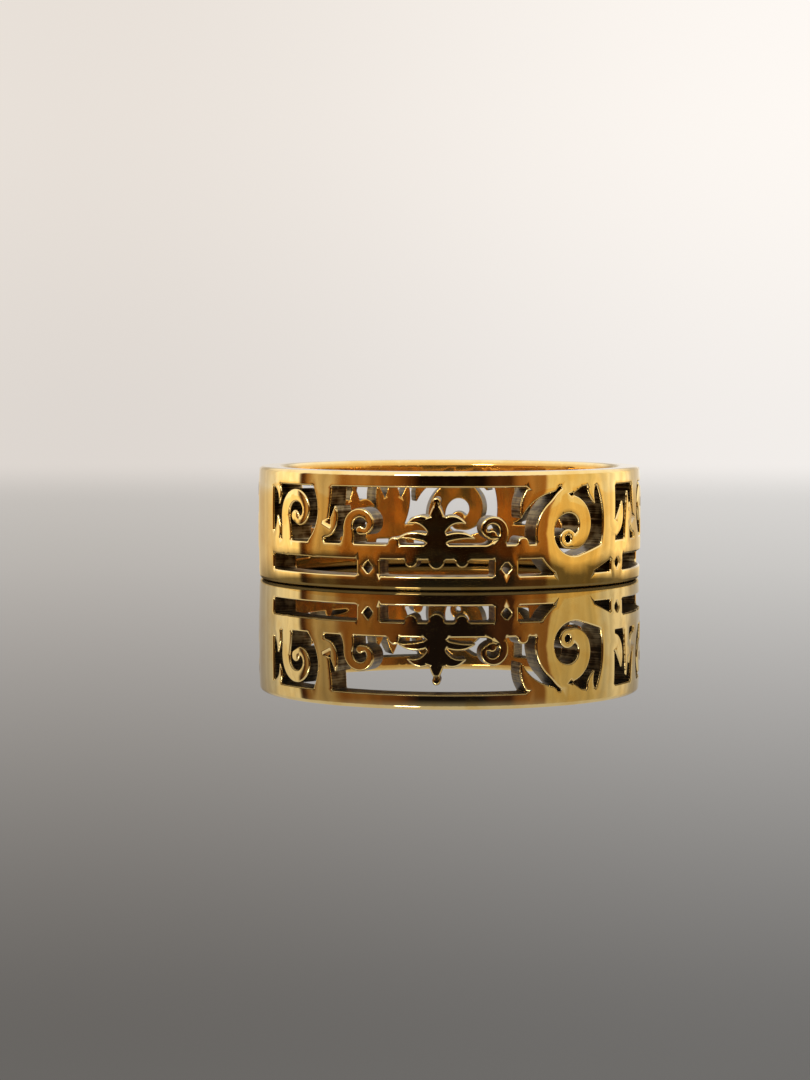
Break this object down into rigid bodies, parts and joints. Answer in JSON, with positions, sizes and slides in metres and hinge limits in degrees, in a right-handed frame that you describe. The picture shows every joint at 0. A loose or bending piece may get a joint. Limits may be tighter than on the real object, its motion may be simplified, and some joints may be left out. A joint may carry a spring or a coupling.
{
  "type": "openwork band ring",
  "caption": "Flat-sided finger ring with plain rims, its wall pierced right through with scrollwork over a long slotted bar.",
  "frame": {"origin": "on the band's axis, in the plane of the lower rim that it stands on", "axes": "+Z along the band's axis, away from the surface it stands on; -Y towards the side that shows in the picture, +X to its right"},
  "size_m": [0.0205, 0.0204, 0.006],
  "materials": {
    "polished_gold": "mirror-polished yellow gold plate outside, inside and on the rims, satin where the pattern is cut through the wall"
  },
  "bodies": {
    "root": {"openwork_band": "polished_gold"}
  },
  "joints": []
}
